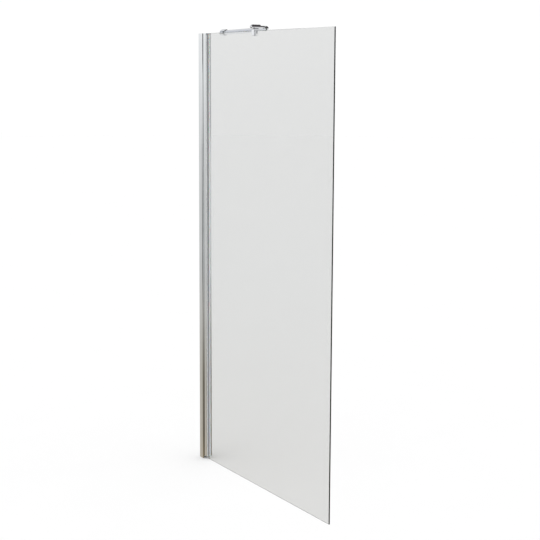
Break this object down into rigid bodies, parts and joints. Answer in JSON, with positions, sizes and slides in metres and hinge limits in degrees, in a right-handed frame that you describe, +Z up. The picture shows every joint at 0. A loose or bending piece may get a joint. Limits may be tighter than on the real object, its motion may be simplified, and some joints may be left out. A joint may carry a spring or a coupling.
{
  "type": "fixed shower screen",
  "caption": "Fixed glass shower screen in a two-part wall profile, braced by a swivelling telescopic arm that clamps the top edge of the glass.",
  "frame": {"origin": "on the wall face, on the glass's middle plane, level with the bottom of the glass", "axes": "+X from the wall along the glass, +Y from the front of the glass to the back, +Z up"},
  "size_m": [1, 0.139, 1.9248],
  "materials": {
    "bright_aluminium": "bright anodised",
    "chrome": "polished chrome plate",
    "steel": "plain stainless",
    "glass": "clear toughened, polished edges",
    "grey_rubber": "extruded",
    "clear_vinyl": "extruded, milky clear",
    "white_nylon": "moulded"
  },
  "bodies": {
    "wall_side": {"wall_channel": "bright_aluminium", "lock_screws": "steel", "lock_screw_covers": "chrome"},
    "screen": {"glass_profile": "bright_aluminium", "profile_top_cap": "bright_aluminium", "glass_panel": "glass", "glass_edge_strip": "grey_rubber", "front_gasket": "grey_rubber", "rear_gasket": "clear_vinyl", "clamp_body": "chrome", "clamp_liner": "grey_rubber", "clamp_grub_screw": "steel", "clamp_stud": "steel", "clamp_swivel_boss": "chrome", "clamp_pivot_pin": "steel", "clamp_washers": "white_nylon"},
    "rod": {"rod_eye": "chrome", "arm_rod": "chrome", "rod_guide": "white_nylon"},
    "tube": {"arm_tube": "chrome", "tube_bush": "white_nylon", "rod_lock_screw": "steel", "tube_eye": "chrome"},
    "bracket": {"bracket_boss": "chrome", "bracket_wall_plate": "steel", "bracket_grub_screw": "steel", "bracket_pivot_pin": "steel", "bracket_washers": "white_nylon"}
  },
  "joints": [
    {"name": "width_adjustment", "type": "slide", "parent": "wall_side", "child": "screen", "axis": [1, 0, 0], "range_m": [-0.01, 0.005]},
    {"name": "clamp_swivel", "type": "hinge", "parent": "screen", "child": "rod", "pos_m": [0.441, 0.0485, 1.9065], "axis": [0, 0, -1], "range_deg": [-6.8, 173]},
    {"name": "arm_extension", "type": "slide", "parent": "rod", "child": "tube", "axis": [-0.9924, 0.1234, 0], "range_m": [-0.06, 0.07]},
    {"name": "bracket_swivel", "type": "hinge", "parent": "tube", "child": "bracket", "pos_m": [0.027, 0.1, 1.9065], "axis": [0, 0, 1], "range_deg": [-90, 83]}
  ]
}
